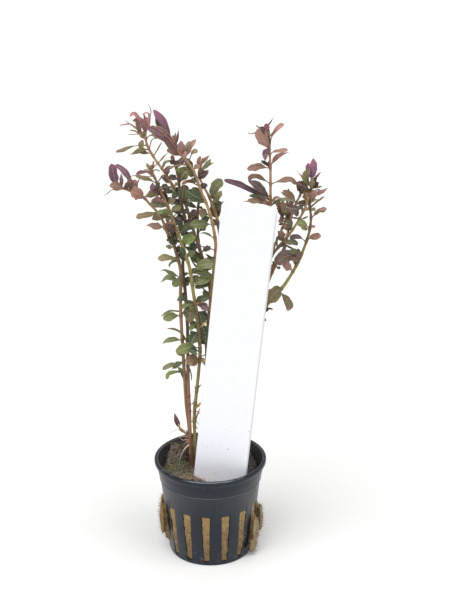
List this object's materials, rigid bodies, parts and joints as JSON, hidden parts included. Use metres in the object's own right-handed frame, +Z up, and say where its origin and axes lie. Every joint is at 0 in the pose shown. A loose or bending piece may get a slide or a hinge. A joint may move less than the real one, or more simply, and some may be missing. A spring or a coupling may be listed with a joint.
{
  "type": "potted rotala rotundifolia",
  "caption": "Bunch of leafy aquarium stems rooted in mineral wool in a slotted black net pot, with a plain white plant label.",
  "frame": {"origin": "centre of the pot's flat underside", "axes": "+Z up along the pot's axis; -Y is the front, towards the camera and the plant label"},
  "size_m": [0.093, 0.052, 0.2115],
  "materials": {
    "pot": "satin black moulded plastic",
    "wool": "tan mineral wool, brown and mossy on top",
    "label": "plain white matt plastic",
    "root": "pale, slightly translucent",
    "stem_tan": "tan-brown, smooth",
    "stem_orange": "orange-brown, smooth",
    "stem_red": "red-brown turning olive",
    "stem_brown": "dark brown",
    "stem_olive": "olive, smooth",
    "leaf_olive": "olive with a pink cast, satin",
    "leaf_green": "mid green, satin",
    "leaf_lime": "bright green, satin",
    "leaf_dark": "dark green, satin",
    "leaf_pink": "dusty pink, satin",
    "leaf_purple": "purple with a paler midrib, satin",
    "leaf_plum": "dark plum, satin",
    "leaf_brown": "red-brown, satin"
  },
  "bodies": {
    "root": {"label": "label", "leaf_behind_purple_1": "leaf_olive", "leaf_behind_purple_2": "leaf_dark", "leaf_far_left_1": "leaf_purple", "leaf_far_left_10": "leaf_lime", "leaf_far_left_2": "leaf_purple", "leaf_far_left_3": "leaf_brown", "leaf_far_left_4": "leaf_pink", "leaf_far_left_5": "leaf_green", "leaf_far_left_6": "leaf_green", "leaf_far_left_7": "leaf_green", "leaf_far_left_8": "leaf_green", "leaf_far_left_9": "leaf_green", "leaf_olive_front_1": "leaf_olive", "leaf_olive_front_2": "leaf_lime", "leaf_olive_front_3": "leaf_dark", "leaf_olive_front_4": "leaf_green", "leaf_olive_front_5": "leaf_green", "leaf_red_middle_1": "leaf_green", "leaf_red_middle_2": "leaf_dark", "leaf_right_outer_1": "leaf_purple", "leaf_right_outer_2": "leaf_pink", "leaf_right_outer_3": "leaf_brown", "leaf_right_outer_4": "leaf_green", "leaf_right_outer_5": "leaf_green", "leaf_right_outer_6": "leaf_brown", "leaf_right_outer_7": "leaf_plum", "leaf_right_outer_8": "leaf_olive", "leaf_right_outer_9": "leaf_brown", "leaf_right_tall_1": "leaf_pink", "leaf_right_tall_2": "leaf_pink", "leaf_right_tall_3": "leaf_olive", "leaf_right_tall_4": "leaf_olive", "leaf_right_tall_5": "leaf_brown", "leaf_right_tall_6": "leaf_brown", "leaf_right_tall_7": "leaf_dark", "leaf_right_tall_8": "leaf_olive", "leaf_right_tall_9": "leaf_purple", "leaf_right_upper_1": "leaf_brown", "leaf_tall_left_1": "leaf_olive", "leaf_tall_left_2": "leaf_olive", "leaf_tall_purple_1": "leaf_purple", "leaf_tall_purple_2": "leaf_plum", "leaf_tall_purple_3": "leaf_green", "leaf_tall_purple_4": "leaf_olive", "net_pot": "pot", "pale_root": "root", "rockwool": "wool", "stem_behind_purple": "stem_tan", "stem_brown_back": "stem_brown", "stem_far_left": "stem_olive", "stem_olive_front": "stem_olive", "stem_red_middle": "stem_red", "stem_right_inner": "stem_brown", "stem_right_middle": "stem_brown", "stem_right_outer": "stem_tan", "stem_right_tall": "stem_tan", "stem_right_upper": "stem_tan", "stem_tall_left": "stem_tan", "stem_tall_purple": "stem_orange"}
  },
  "joints": []
}
